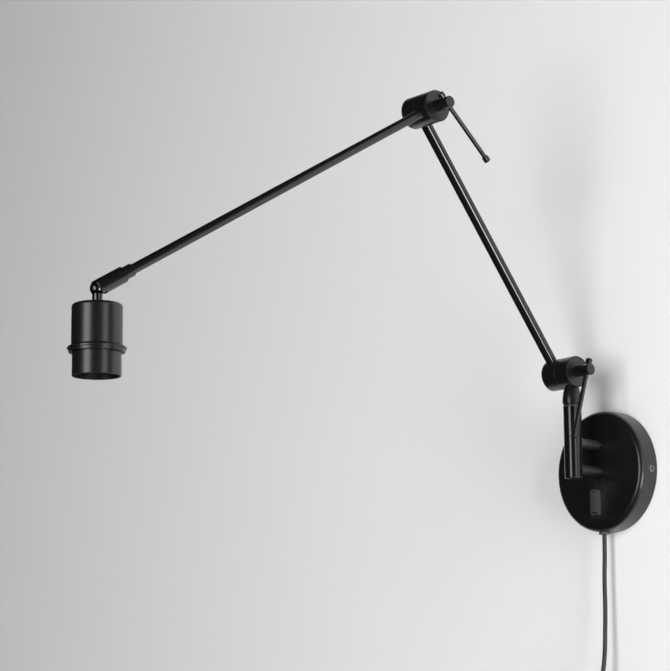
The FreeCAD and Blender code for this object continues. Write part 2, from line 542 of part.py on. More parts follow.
# ---------------------------------------------------------------- ball joint
def make_ball_joint():
    back = frame_at(BALL, X, -UPPER_ARM)
    tube_hole = "upper_tube_dia / 2 + socket_gap"
    turned("arm_reducer", back, [
        (tube_hole, "sleeve_back - reducer_spigot"),
        ("reducer_spigot_dia / 2", "sleeve_back - reducer_spigot"),
        ("reducer_spigot_dia / 2", "sleeve_back"), ("reducer_dia / 2", "sleeve_back"),
        ("reducer_dia / 2", "sleeve_back + reducer_length - reducer_edge"),
        ("reducer_dia / 2 - reducer_edge", "sleeve_back + reducer_length"),
        (tube_hole, "sleeve_back + reducer_length")])

    slot_way = (UPPER_ARM * UPPER_ARM.dot(Z) - Z).normalize()
    seat = "sleeve_back - reducer_spigot"
    stop = "sleeve_back - arm_overlap - arm_end_room"
    sleeve = turned("ball_socket_sleeve", frame_at(BALL, slot_way, -UPPER_ARM), [
        ("0", "-sleeve_front"), ("sleeve_dia / 2 - sleeve_edge", "-sleeve_front"),
        ("sleeve_dia / 2", "sleeve_edge - sleeve_front"), ("sleeve_dia / 2", "sleeve_back - 0.4"),
        ("sleeve_dia / 2 - 0.4", "sleeve_back"), ("reducer_spigot_dia / 2 + turn_gap", "sleeve_back"),
        ("reducer_spigot_dia / 2 + turn_gap", seat), (f"{tube_hole} + turn_gap", seat),
        (f"{tube_hole} + turn_gap", stop), ("0", stop)])
    drill(sleeve, ("0", "0", "0"), Z, "sleeve_wire_bore / 2", "sleeve_back")
    hollow = sleeve.newObject("PartDesign::SubtractiveSphere", "seat")
    bind(hollow, Radius="ball_dia / 2 + ball_gap")
    block(sleeve, "Subtractive", ("sleeve_dia / 2", "0", "(slot_back - sleeve_front) / 2 - 1"),
          ("sleeve_dia", "neck_dia + 2 * slot_gap", "slot_back + sleeve_front + 2"))

    down = frame_at(BALL, X, -Z)
    stud = turned("ball_stud", down, [
        ("0", "0"), ("neck_dia / 2", "0"), ("neck_dia / 2", "neck_length - neck_flange"),
        ("neck_flange_dia / 2", "neck_length - neck_flange"), ("neck_flange_dia / 2", "neck_length"),
        ("stud_dia / 2", "neck_length"), ("stud_dia / 2", "neck_length + stud_length"),
        ("0", "neck_length + stud_length")])
    ball = stud.newObject("PartDesign::AdditiveSphere", "ball")
    bind(ball, Radius="ball_dia / 2")
    drill(stud, ("0", "0", "-ball_dia"), Z, "stud_bore / 2", "2 * ball_dia + neck_length")
    nut = piece("stud_nut", down)
    hexagon(nut, "Additive", ("0", "0", "neck_length + cup_top"), "stud_nut_flats", "stud_nut")
    drill(nut, ("0", "0", "neck_length"), Z, "stud_dia / 2 + screw_gap", "stud_nut + 6")


# ---------------------------------------------------------------- lampholder
def make_lampholder():
    at = frame_at(BALL - Z * size("neck_length"), X, -Z)
    hole = "stud_dia / 2 + turn_gap"
    outer = "(collar_dia / 2 + cup_step)"
    inner = f"{outer} - cup_wall"
    cup = turned("lampholder_cup", at, [
        (hole, "0"), (outer, "0"), (outer, "cup_length"), (inner, "cup_length"),
        (inner, "cup_top"), (hole, "cup_top")])
    dress(cup, "Fillet", circle_at(outer, "0"), Radius="cup_round")

    bore = "collar_dia / 2 - collar_wall"
    thread = f"{inner} - collar_thread_gap"
    turned("holder_collar", at, [
        (bore, "cup_length - collar_thread"), (thread, "cup_length - collar_thread"), (thread, "cup_length"),
        ("collar_dia / 2 - collar_relief", "cup_length"),
        ("collar_dia / 2 - collar_relief", "cup_length + ring_length + collar_relief"),
        ("collar_dia / 2", "cup_length + ring_length + collar_relief"),
        ("collar_dia / 2", "collar_end - collar_edge"),
        ("collar_dia / 2 - collar_edge", "collar_end"), (bore, "collar_end")])

    inside = "collar_dia / 2 + ring_gap"
    crest, skirt = "collar_dia / 2 + ring_out", "collar_dia / 2 + skirt_out"
    band = "cup_length + ring_flare"
    turned("shade_ring", at, [
        (inside, "cup_length"), (f"{outer} + ring_top", "cup_length"), (crest, band),
        (crest, f"{band} + ring_band"), (skirt, f"{band} + ring_band"),
        (skirt, "cup_length + ring_length"), (inside, "cup_length + ring_length")])

    floor = "core_top + core_floor"
    core = turned("holder_core", at, [
        ("0", "core_top"), (f"{bore} - core_gap", "core_top"), (f"{bore} - core_gap", "core_end - 1"),
        (f"{bore} - core_gap - 1", "core_end"), ("core_bore / 2 + 1", "core_end"),
        ("core_bore / 2", "core_end - 1"), ("core_bore / 2", floor), ("0", floor)])
    for side in (1, -1):
        drill(core, (f"{side} * core_bore / 3", "0", "core_top - 1"), Z, "core_wire_dia / 2",
              "core_floor + 2")

    low = f"{floor} + contact_rise + contact_thick + shell_gap"
    crest, valley = "shell_bore / 2", "shell_bore / 2 + shell_groove"
    waves = []
    for turn in range(int(size("shell_turns"))):
        start = f"{low} + {turn} * shell_pitch"
        waves += [(crest, start), (crest, f"{start} + shell_flat"), (valley, f"{start} + shell_pitch / 2"),
                  (valley, f"{start} + shell_pitch / 2 + shell_flat")]
    waves += [(crest, f"{low} + shell_turns * shell_pitch"),
              (crest, f"{low} + shell_turns * shell_pitch + shell_flat")]
    skin = [(f"{r} + shell_wall", z) for r, z in reversed(waves)]
    turned("thread_shell", at, waves + skin)

    strip = piece("centre_contact", at)
    pad = strip.newObject("PartDesign::Pad", "strip")
    half = "contact_length / 2"
    pad.Profile = outline(strip, "XZ_Plane", [
        (f"-{half}", floor), ("0", floor), (half, f"{floor} + contact_rise"),
        (half, f"{floor} + contact_rise + contact_thick"), ("0", f"{floor} + contact_thick"),
        (f"-{half}", f"{floor} + contact_thick")])
    pad.Midplane = True
    bind(pad, Length="contact_width")


# ---------------------------------------------------------------- cord
CORD_START = V(size("gland_x"), -size("gland_back"), -size("canopy_dia / 2 + gland_flange"))
TURNS = size("coil_turns") + (size("coil_end") - size("coil_start")) / 360
CORD_DIA = size("cord_dia")
FREE_GUESS = 180    # first guess of the length above the coil, put right by going round again
LAST_RUN = 17       # from the route's last bend to the coil


def coil_point(turn, inner):
    """A point of the coil's centre line, that many turns from its start. Each layer spirals in or
    out by a steady pitch and the next layer is reached in the half turn about the reversal."""
    layers = int(size("coil_layers"))
    per_layer = TURNS / layers
    layer = min(int(turn / per_layer), layers - 1)
    part = turn / per_layer - layer
    inward = 1 - part if layer % 2 == 0 else part
    radius = inner + size("coil_pitch") * per_layer * inward
    climb = 0
    for step in range(1, layers):
        climb += min(max((turn - step * per_layer) / 0.5 + 0.5, 0), 1)
    angle = math.radians(size("coil_start")) + 2 * math.pi * turn
    front = -size("coil_back + (coil_layers - 1) * coil_pitch")
    return V(size("coil_x") + radius * math.cos(angle), front + size("coil_pitch") * climb,
             size("coil_z") + radius * math.sin(angle))


def inner_radius(length):
    """The coil's inner radius, so that its turns hold the given length of cord."""
    return length / (2 * math.pi * TURNS) - size("coil_pitch") * TURNS / (2 * size("coil_layers"))


def rounded_path(points):
    """Straight runs joined by tangent arcs, and the arcs' radii."""
    edges, radii = [], []
    here = points[0]
    for before, corner, after in zip(points, points[1:], points[2:]):
        a, b = (before - corner), (after - corner)
        reach = 0.45 * min(a.Length, b.Length)
        half_turn = (math.pi - a.getAngle(b)) / 2
        radii.append(reach / math.tan(half_turn))
        enter = corner + V(a).normalize() * reach
        leave = corner + V(b).normalize() * reach
        bisector = (enter + leave) / 2 - corner
        sag = radii[-1] / math.cos(half_turn) - radii[-1]
        edges.append(Part.LineSegment(here, enter).toShape())
        edges.append(Part.Arc(enter, corner + bisector.normalize() * sag, leave).toShape())
        here = leave
    edges.append(Part.LineSegment(here, points[-1]).toShape())
    return edges, radii


def biarc(p0, t0, p1, t1):
    """Two tangent arcs from p0 along t0 to p1 along t1."""
    v, t = p1 - p0, t0 + t1
    a, b, c = 2 * (1 - t0.dot(t1)), 2 * v.dot(t), -v.dot(v)
    d = -c / b if abs(a) < EPS else (-b + math.sqrt(b * b - 4 * a * c)) / (2 * a)
    middle = (p0 + t0 * d + p1 - t1 * d) / 2
    return [arc_from(p0, t0, middle), arc_from(p1, -t1, middle, True)]


def arc_from(start, tangent, stop, backwards=False):
    """The arc that leaves start along tangent and ends at stop."""
    chord = stop - start
    across = chord - tangent * chord.dot(tangent)
    radius = chord.dot(chord) / (2 * across.Length)
    centre = start + V(across).normalize() * radius
    top = centre + ((start + stop) / 2 - centre).normalize() * radius
    return (Part.Arc(stop, top, start) if backwards else Part.Arc(start, top, stop)).toShape()


def swept(edges, radius):
    """A round tube along a path."""
    wire = Part.Wire(edges)
    start = wire.Edges[0]
    heading = start.tangentAt(start.FirstParameter)
    section = Part.Wire(Part.Circle(start.valueAt(start.FirstParameter), heading, radius).toShape())
    return wire.makePipeShell([section], True, False), sum(edge.Length for edge in edges)


def soft(label, shape):
    made = doc.addObject("Part::Feature", label)
    made.Label = label
    made.Shape = shape
    PARTS.append(made)
    return made


def make_cord():
    """The cord drops from the gland, then winds into a tied coil that ends in the plug."""
    def hand_over(inner):
        first = coil_point(0, inner)
        angle = math.radians(size("coil_start"))
        way = V(-math.sin(angle), 0, math.cos(angle))
        return first, way, first - way * CORD_DIA

    def free_route(joint, way):
        return [CORD_START, V(-1.9, -13, -82), V(-2.3, -14.3, -106), V(-1.7, -14.6, -132),
                V(-1.9, -15.6, -158), V(-1.4, -17.4, -180), V(-1.9, -20.6, -201),
                joint - way * LAST_RUN, joint]

    inner = inner_radius(size("cord_length") - FREE_GUESS)
    for _ in range(4):
        first, way, joint = hand_over(inner)
        edges, radii = rounded_path(free_route(joint, way))
        free_length = sum(edge.Length for edge in edges)
        inner = inner_radius(size("cord_length") - free_length - 2 * CORD_DIA)
    print("cord route", [tuple(round(c, 2) for c in p) for p in free_route(joint, way)])
    print("cord bend radii", [round(r, 1) for r in radii])
    shape, length = swept(edges, CORD_DIA / 2)
    print(f"free cord {length:.1f} mm, volume / (section x length) "
          f"{shape.Volume / (length * math.pi * CORD_DIA ** 2 / 4):.4f}")
    soft("power_cord", shape)

    steps = int(TURNS * 4) + 1
    stops = [TURNS * i / steps for i in range(steps + 1)]
    tiny = 1e-4
    path = [Part.LineSegment(joint, first).toShape()]
    spots = [coil_point(s, inner) for s in stops]
    headings = [(coil_point(s + tiny, inner) - coil_point(s - tiny, inner)).normalize() for s in stops]
    headings[0] = way
    last_angle = math.radians(size("coil_end"))
    leave = V(-math.sin(last_angle), 0, math.cos(last_angle))
    headings[-1] = leave
    for i in range(steps):
        path += biarc(spots[i], headings[i], spots[i + 1], headings[i + 1])
    tail_at = spots[-1] + leave * CORD_DIA
    path.append(Part.LineSegment(spots[-1], tail_at).toShape())
    shape, length = swept(path, CORD_DIA / 2)
    print(f"coil {length:.1f} mm in {TURNS:.3f} turns, inner radius {inner:.2f}, least gap "
          f"{least_gap(path):.2f}, volume ratio {shape.Volume / (length * math.pi * CORD_DIA ** 2 / 4):.4f}")
    print(f"cord in all {free_length + length:.1f} mm")
    soft("cord_coil", shape)
    make_tie(inner)
    make_plug(tail_at, leave)


def least_gap(path):
    """The least gap between the coil's cord and itself, measured on points a millimetre apart."""
    points, travel = [], []
    run = 0
    for edge in path:
        count = max(2, int(edge.Length))
        spots = edge.discretize(count)
        if points and (points[-1] - spots[0]).Length > (points[-1] - spots[-1]).Length:
            spots.reverse()
        for spot in spots:
            if points:
                run += (spot - points[-1]).Length
            points.append(spot)
            travel.append(run)
    gap = math.inf
    for i, spot in enumerate(points):
        for j in range(i + 1, len(points)):
            if travel[j] - travel[i] > 6 * CORD_DIA:
                gap = min(gap, (points[j] - spot).Length - CORD_DIA)
    return gap


def make_tie(inner):
    """A flat band round all the turns."""
    outer = inner + size("coil_pitch") * TURNS / size("coil_layers")
    gap, thick = size("tie_gap"), size("tie_thick")
    angle = math.radians(size("tie_angle"))
    radial = V(math.cos(angle), 0, math.sin(angle))
    depth = size("(coil_layers - 1) * coil_pitch") + CORD_DIA + 2 * gap
    width = outer - inner + CORD_DIA + 2 * gap
    middle_y = -size("coil_back + (coil_layers - 1) * coil_pitch / 2")
    centre = V(size("coil_x"), middle_y, size("coil_z")) + radial * ((inner + outer) / 2)
    tie = piece("cord_tie", frame_at(centre, radial, radial.cross(Y)))
    for kind, grow, tall in (("Additive", 2 * thick, size("tie_width")), ("Subtractive", 0, 30)):
        block(tie, kind, ("0", "0", "0"), (str(width + grow), str(depth + grow), str(tall)))


def make_plug(at, way):
    """A flat two-pin plug with a tapered tail."""
    place = frame_at(at, V(0, 1, 0).cross(way), way)
    plug = turned("plug_body", place, [
        ("0", "0"), ("plug_tail_tip / 2", "0"), ("plug_tail_dia / 2", "plug_tail"),
        ("plug_tail_dia / 2", "plug_tail + plug_tail_in"), ("0", "plug_tail + plug_tail_in")])
    block(plug, "Additive", ("0", "0", "plug_tail + plug_length / 2"),
          ("plug_width", "plug_thick", "plug_length"))
    doc.recompute()
    top = size("plug_tail")
    dress(plug, "Chamfer", lambda edge: along(Y)(edge) and edge.CenterOfMass.z < top + 1, Size="plug_corner")
    end = "plug_tail + plug_length"
    pins = []
    for side in (1, -1):
        spot = place.multVec(V(side * size("pin_spacing / 2"), 0, 0))
        pins.append(turned(f"plug_pin_{len(pins) + 1}", FreeCAD.Placement(spot, place.Rotation), [
            ("0", end), ("pin_dia / 2", end), ("pin_dia / 2", f"{end} + pin_length - pin_tip"),
            ("pin_dia / 2 - pin_tip", f"{end} + pin_length"), ("0", f"{end} + pin_length")]))
    group("plug_pins", pins)


# ---------------------------------------------------------------- build, check and write
make_canopy()
make_switch()
make_gland()
make_post()
make_swivel()
make_knuckles()
make_arms()
make_ball_joint()
make_lampholder()
make_cord()
doc.recompute()

for item in doc.Objects:
    if any(word in ("Invalid", "Error") for word in item.State):
        raise RuntimeError(f"{item.Label} failed: {item.State}")
os.makedirs("parts", exist_ok=True)
for item in PARTS:
    shape = item.Shape
    if shape.isNull() or not shape.isValid() or not shape.Solids:
        raise RuntimeError(f"{item.Label} has no valid solid")
    shape.exportStep(os.path.join("parts", item.Label + ".step"))
print(f"{len(PARTS)} sub-parts written; elbow {tuple(round(c, 2) for c in ELBOW_PIN)}, "
      f"ball {tuple(round(c, 2) for c in BALL)}")
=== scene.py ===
# %% [markdown]
# An articulating wall lamp: a round canopy, a short post, two clamped knuckles with tommy bars, two
# arms, and a screw lampholder on a ball joint. The construction is loaded as a fixed frame of separate
# metal, plastic and brass parts in metres. What is left to do here is the finish: crisp broken edges,
# black coats, the cord's smooth line, and the room with its light and camera.

# %% Load the frame
import json
import math
import bmesh
import bpy
from mathutils import Matrix, Vector


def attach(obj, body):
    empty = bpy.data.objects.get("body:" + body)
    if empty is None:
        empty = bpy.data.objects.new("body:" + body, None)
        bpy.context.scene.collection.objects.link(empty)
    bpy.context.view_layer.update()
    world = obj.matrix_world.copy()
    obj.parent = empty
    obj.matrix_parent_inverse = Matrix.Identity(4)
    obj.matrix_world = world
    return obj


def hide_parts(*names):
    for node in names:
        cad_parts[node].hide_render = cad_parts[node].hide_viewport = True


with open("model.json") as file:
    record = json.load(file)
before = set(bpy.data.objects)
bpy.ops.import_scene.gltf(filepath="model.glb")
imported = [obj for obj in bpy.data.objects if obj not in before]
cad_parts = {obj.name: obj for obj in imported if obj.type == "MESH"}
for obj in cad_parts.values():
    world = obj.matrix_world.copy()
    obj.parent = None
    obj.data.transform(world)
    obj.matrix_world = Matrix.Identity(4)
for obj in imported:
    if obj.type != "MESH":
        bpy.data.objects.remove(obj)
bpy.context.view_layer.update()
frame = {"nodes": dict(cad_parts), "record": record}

MM = 0.001

# %% [markdown]
# The photograph was taken with a long lens from low on the right, looking slightly up. A camera is a
# place, a direction and an angle of view. A constraint that looks at a target would be simpler, but it
# can't roll, so the direction is built from three turns: first round the vertical, then up, then a
# slight roll about the line of sight.

# %% Camera
CAMERA_PLACE = Vector((1.62266, -1.63321, -0.25923))
CAMERA_AZIMUTH, CAMERA_PITCH, CAMERA_ROLL = 51.72, 9.94, -0.46
FOCAL_PIXELS, LONG_SIDE_PIXELS = 2298.9, 671
SENSOR_WIDTH = 36
NEAREST, FARTHEST = 0.05, 50

lens = bpy.data.cameras.new("camera")
lens.sensor_width = SENSOR_WIDTH
lens.lens = FOCAL_PIXELS / LONG_SIDE_PIXELS * SENSOR_WIDTH
lens.clip_start, lens.clip_end = NEAREST, FARTHEST
camera = bpy.data.objects.new("camera", lens)
bpy.context.scene.collection.objects.link(camera)
bpy.context.scene.camera = camera
camera.location = CAMERA_PLACE
turn = (Matrix.Rotation(math.radians(CAMERA_AZIMUTH), 4, "Z")
        @ Matrix.Rotation(math.radians(90 + CAMERA_PITCH), 4, "X")
        @ Matrix.Rotation(math.radians(CAMERA_ROLL), 4, "Z"))
camera.rotation_euler = turn.to_euler()
print("lens", round(lens.lens, 1), "mm")

# %% [markdown]
# The mains cord is one flexible thing of a fixed length, 1.8 m from gland to plug. The stretch in view
# hangs almost straight, with the faint waves that a cord keeps from its packing. The rest is wound into
# a neat coil just below the picture, four layers that spiral in, out, in and out again. The whole cord
# is one NURBS curve of order 3: given points for the free stretch, and a formula for the coil.
# The curve's bevel is one unit and each point's radius scales it, so the box round the curve is true.

# %% Cord
CORD_DIA = 4.4
FREE_ROUTE = [(-1.9, -13, -62.4), (-1.9, -13, -82), (-2.3, -14.3, -106), (-1.7, -14.6, -132),
              (-1.9, -15.6, -158), (-1.4, -17.4, -180), (-1.9, -20.6, -201)]
COIL_X, COIL_Z, COIL_BACK = 9, -255, 8.5
COIL_PITCH, COIL_LAYERS = 5.1, 4
COIL_START, COIL_END = 150, 180
COIL_TURNS = 10 + (COIL_END - COIL_START) / 360
COIL_INNER = 19.06
CROSSING_TURNS = 0.5
POINTS_PER_TURN = 18
LEAD_IN = 17
CURVE_ORDER, CURVE_STEPS, BEVEL_STEPS = 3, 4, 5


def coil_point(turn):
    """Centre of the cord after that many turns of the coil, in millimetres."""
    per_layer = COIL_TURNS / COIL_LAYERS
    layer = min(int(turn / per_layer), COIL_LAYERS - 1)
    part = turn / per_layer - layer
    inward = 1 - part if layer % 2 == 0 else part
    radius = COIL_INNER + COIL_PITCH * per_layer * inward
    climb = sum(min(max((turn - step * per_layer) / CROSSING_TURNS + 0.5, 0), 1)
                for step in range(1, COIL_LAYERS))
    angle = math.radians(COIL_START) + 2 * math.pi * turn
    front = -COIL_BACK - (COIL_LAYERS - 1) * COIL_PITCH
    return Vector((COIL_X + radius * math.cos(angle), front + COIL_PITCH * climb,
                   COIL_Z + radius * math.sin(angle)))


def heading(degrees):
    """Direction of travel round the coil at that angle."""
    angle = math.radians(degrees)
    return Vector((-math.sin(angle), 0, math.cos(angle)))


hand_over = coil_point(0) - heading(COIL_START) * CORD_DIA
route = [Vector(p) for p in FREE_ROUTE] + [hand_over - heading(COIL_START) * LEAD_IN, hand_over]
steps = int(COIL_TURNS * POINTS_PER_TURN)
route += [coil_point(COIL_TURNS * i / steps) for i in range(steps + 1)]
route.append(route[-1] + heading(COIL_END) * CORD_DIA)

cord_curve = bpy.data.curves.new("mains_cord", "CURVE")
cord_curve.dimensions = "3D"
cord_curve.bevel_depth = 1
cord_curve.bevel_resolution = BEVEL_STEPS
cord_curve.use_fill_caps = True
spline = cord_curve.splines.new("NURBS")
spline.points.add(len(route) - 1)
for point, place in zip(spline.points, route):
    point.co = (*(place * MM), 1)
    point.radius = CORD_DIA / 2 * MM
spline.order_u = CURVE_ORDER
spline.use_endpoint_u = True
spline.resolution_u = CURVE_STEPS
cord = bpy.data.objects.new("mains_cord", cord_curve)
bpy.context.scene.collection.objects.link(cord)
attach(cord, "root")
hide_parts("power_cord", "cord_coil")
print("cord points", len(route))

# %% [markdown]
# Nothing here is a picture: every finish is worked out from the Object coordinates, which a finished
# piece and a part of the frame share. Building a material means adding nodes, giving their sockets
# values and joining them, so a few short helpers do that and keep the finishes themselves readable.

# %% Helpers for node trees


def link(tree, source, target):
    tree.links.new(source, target)


def node(tree, kind, values=None, **settings):
    """A new node with its settings, and with values on its input sockets."""
    made = tree.nodes.new(kind)
    for name, setting in settings.items():
        setattr(made, name, setting)
    for label, value in (values or {}).items():
        made.inputs[label].default_value = value
    return made


def new_group(name, inputs, outputs):
    """An empty shader group with named sockets."""
    tree = bpy.data.node_groups.new(name, "ShaderNodeTree")
    for label, kind, value in inputs:
        socket = tree.interface.new_socket(label, in_out="INPUT", socket_type=kind)
        socket.default_value = value
    for label, kind in outputs:
        tree.interface.new_socket(label, in_out="OUTPUT", socket_type=kind)
    return tree, node(tree, "NodeGroupInput"), node(tree, "NodeGroupOutput")


def math_node(tree, operation, first, second):
    """The result of a Math node. Each input is a number or another node's socket."""
    made = node(tree, "ShaderNodeMath", operation=operation)
    for socket, value in zip(made.inputs, (first, second)):
        if isinstance(value, (int, float)):
            socket.default_value = value
        else:
            link(tree, value, socket)
    return made.outputs[0]


def fade(tree, value, start, end):
    """Nought before start, one past end, and a straight slope between."""
    made = node(tree, "ShaderNodeMapRange", {"From Min": start, "From Max": end}, clamp=True)
    link(tree, value, made.inputs["Value"])
    return made.outputs["Result"]


def mix_shader(tree, mask, plain, masked):
    """The plain shader where the mask is nought, and the masked one where it is one."""
    made = node(tree, "ShaderNodeMixShader")
    link(tree, mask, made.inputs["Fac"])
    link(tree, plain.outputs[0], made.inputs[1])
    link(tree, masked.outputs[0], made.inputs[2])
    return made


# %% [markdown]
# A sprayed or moulded surface is never quite flat. It has a fine skin, like an orange's, and its gloss
# drifts a little from place to place. Modelling that skin would take millions of faces, so two noise
# textures stand for it: a fine one gives the height for a bump, and a broad one moves the roughness.
# Every finish needs both, so they sit in one node group with its own inputs.

# %% Grain: fine bumps and uneven gloss
FINE_DETAIL = 3
BROAD_SCALE, BROAD_DETAIL = 35, 4
grain, g_in, g_out = new_group(
    "grain",
    [("Vector", "NodeSocketVector", (0, 0, 0)), ("Scale", "NodeSocketFloat", 900.0),
     ("Roughness", "NodeSocketFloat", 0.4), ("Unevenness", "NodeSocketFloat", 0.08)],
    [("Height", "NodeSocketFloat"), ("Roughness", "NodeSocketFloat")])
fine = node(grain, "ShaderNodeTexNoise", {"Detail": FINE_DETAIL})
link(grain, g_in.outputs["Vector"], fine.inputs["Vector"])
link(grain, g_in.outputs["Scale"], fine.inputs["Scale"])
broad = node(grain, "ShaderNodeTexNoise", {"Scale": BROAD_SCALE, "Detail": BROAD_DETAIL})
link(grain, g_in.outputs["Vector"], broad.inputs["Vector"])
link(grain, fine.outputs["Fac"], g_out.inputs["Height"])
sway = math_node(grain, "SUBTRACT", broad.outputs["Fac"], 0.5)
sway = math_node(grain, "MULTIPLY", sway, g_in.outputs["Unevenness"])
link(grain, math_node(grain, "ADD", g_in.outputs["Roughness"], sway), g_out.inputs["Roughness"])
print("grain group", len(grain.nodes), "nodes")

# %% [markdown]
# Where hands and tools touch a lamp, the coat on its sharpest edges is rubbed thin. Painting that by hand
# would take a texture, but Blender's Pointiness already knows where a mesh turns outwards: half is flat
# and more is sharper. The mask starts well above the value that a thin round tube has, so that the arms
# stay black, and a noise breaks it into patches.

# %% Wear: where edges have been rubbed
EDGE_START, EDGE_FULL = 0.58, 0.7
PATCH_SCALE, PATCH_DETAIL = 160, 5
wear, w_in, w_out = new_group(
    "wear",
    [("Vector", "NodeSocketVector", (0, 0, 0)), ("Amount", "NodeSocketFloat", 0.3),
     ("Coat", "NodeSocketColor", (0.02, 0.02, 0.02, 1)), ("Rubbed", "NodeSocketColor", (0.1, 0.1, 0.1, 1))],
    [("Color", "NodeSocketColor")])
curvature = node(wear, "ShaderNodeNewGeometry")
edge = fade(wear, curvature.outputs["Pointiness"], EDGE_START, EDGE_FULL)
patch = node(wear, "ShaderNodeTexNoise", {"Scale": PATCH_SCALE, "Detail": PATCH_DETAIL})
link(wear, w_in.outputs["Vector"], patch.inputs["Vector"])
rubbed = math_node(wear, "MULTIPLY", edge, patch.outputs["Fac"])
rubbed = math_node(wear, "MULTIPLY", rubbed, w_in.outputs["Amount"])
cover = node(wear, "ShaderNodeMix", data_type="RGBA")
link(wear, rubbed, cover.inputs["Factor"])
link(wear, w_in.outputs["Coat"], cover.inputs["A"])
link(wear, w_in.outputs["Rubbed"], cover.inputs["B"])
link(wear, cover.outputs["Result"], w_out.inputs["Color"])
print("wear group", len(wear.nodes), "nodes")

# %% [markdown]
# All the finishes differ only in numbers: a colour, a rubbed colour, a gloss and a grain. One function
# therefore builds them all from the two groups. What is the same all over a piece, such as metallic and
# IOR, is set on the shader's own socket.

# %% A material from the two groups


def finish_material(name, coat, rubbed, roughness, bump, scale, unevenness=0.08, metallic=0.0,
                    amount=0.3, ior=1.62):
    """A surface with grain, uneven gloss and rubbed edges. The bump is in millimetres."""
    material = bpy.data.materials.new(name)
    material.use_nodes = True
    tree = material.node_tree
    shader = tree.nodes["Principled BSDF"]
    shader.inputs["Metallic"].default_value = metallic
    shader.inputs["IOR"].default_value = ior
    place = node(tree, "ShaderNodeTexCoord")
    skin = node(tree, "ShaderNodeGroup",
                {"Scale": scale, "Roughness": roughness, "Unevenness": unevenness}, node_tree=grain)
    link(tree, place.outputs["Object"], skin.inputs["Vector"])
    link(tree, skin.outputs["Roughness"], shader.inputs["Roughness"])
    relief = node(tree, "ShaderNodeBump", {"Distance": bump * MM, "Strength": 1.0})
    link(tree, skin.outputs["Height"], relief.inputs["Height"])
    link(tree, relief.outputs["Normal"], shader.inputs["Normal"])
    rub = node(tree, "ShaderNodeGroup",
               {"Amount": amount, "Coat": (*coat, 1), "Rubbed": (*rubbed, 1)}, node_tree=wear)
    link(tree, place.outputs["Object"], rub.inputs["Vector"])
    link(tree, rub.outputs["Color"], shader.inputs["Base Color"])
    return material


# %% [markdown]
# The lamp is black all over, but not one black. The canopy, knuckles and lampholder are powder coated,
# with a fine orange peel. The post, the arms, the reducer and the socket sleeve are smoother and shine
# more, and the clamp bolts and bars are turned steel with a thin black. The standoffs, the friction
# washers and the grub screws are dark bare steel, and the ball is dark nickel. Inside and behind sit
# zinc-plated fasteners, brass contacts, black mouldings and an ivory terminal block. The coats are
# written very dark, because the shine on top of them adds its own light.

# %% The lamp's finishes
powder_black = finish_material("powder_black", (0.004, 0.004, 0.0042), (0.05, 0.05, 0.05), roughness=0.3,
                               bump=0.006, scale=1400, amount=0.5, ior=1.65)
satin_black = finish_material("satin_black", (0.004, 0.004, 0.0042), (0.08, 0.08, 0.08), roughness=0.12,
                              bump=0.002, scale=1800, unevenness=0.04, amount=0.15)
gunmetal = finish_material("gunmetal", (0.24, 0.24, 0.245), (0.4, 0.4, 0.4), roughness=0.42,
                           bump=0.003, scale=1800, metallic=1.0, amount=0.6)
fitting_black = finish_material("fitting_black", (0.005, 0.005, 0.0052), (0.12, 0.115, 0.11),
                                roughness=0.16, bump=0.002, scale=2200, unevenness=0.05)
black_nickel = finish_material("black_nickel", (0.09, 0.09, 0.093), (0.2, 0.2, 0.2), roughness=0.22,
                               bump=0.002, scale=2200, unevenness=0.05, metallic=1.0, amount=0.4)
zinc = finish_material("zinc", (0.55, 0.56, 0.57), (0.7, 0.7, 0.7), roughness=0.32,
                       bump=0.01, scale=700, unevenness=0.15, metallic=1.0)
nylon = finish_material("nylon", (0.03, 0.03, 0.03), (0.06, 0.06, 0.06), roughness=0.5,
                        bump=0.01, scale=900, amount=0.2)
plastic_black = finish_material("plastic_black", (0.038, 0.038, 0.038), (0.09, 0.09, 0.09),
                                roughness=0.4, bump=0.015, scale=1100)
plastic_ivory = finish_material("plastic_ivory", (0.74, 0.70, 0.58), (0.8, 0.77, 0.68), roughness=0.45,
                                bump=0.01, scale=900)
insulator = finish_material("insulator", (0.018, 0.018, 0.018), (0.04, 0.04, 0.04), roughness=0.5,
                            bump=0.02, scale=900)
brass = finish_material("brass", (0.72, 0.53, 0.25), (0.9, 0.75, 0.45), roughness=0.3,
                        bump=0.008, scale=800, unevenness=0.15, metallic=1.0)
cord_cover = finish_material("cord_cover", (0.012, 0.012, 0.013), (0.03, 0.03, 0.03), roughness=0.45,
                             bump=0.02, scale=700, amount=0.1)
lead_cover = finish_material("lead_cover", (0.03, 0.03, 0.03), (0.05, 0.05, 0.05), roughness=0.5,
                             bump=0.01, scale=700)

# %% [markdown]
# The frame's record already says which parts share a stock, its slot, and which body each part moves
# with. A slot's finish goes on all of its parts, and only the shiny tubes and the plated ball are named
# one by one.

# %% Which part has which finish
SLOT_MATERIAL = {"black_steel": powder_black, "black_fittings": fitting_black, "plain_steel": zinc,
                 "dark_steel": gunmetal, "bush_nylon": nylon, "black_plastic": plastic_black,
                 "ivory_plastic": plastic_ivory, "holder_core": insulator, "brass": brass,
                 "cord_cover": cord_cover, "lead_cover": lead_cover}
NODE_SLOT = {part["node"]: part["material_slot"] for part in frame["record"]["subparts"]}
NODE_BODY = {name: body for body, names in frame["record"]["behaviour"]["bodies"].items() for name in names}
SATIN_NODES = ["post_tube", "lower_arm_tube", "upper_arm_tube", "arm_reducer", "ball_socket_sleeve"]


def finish_of(name):
    """The material of a frame part: its slot's, except on the smooth drawn tubes and the plated ball."""
    if name == "ball_stud":
        return black_nickel
    return satin_black if name in SATIN_NODES else SLOT_MATERIAL[NODE_SLOT[name]]


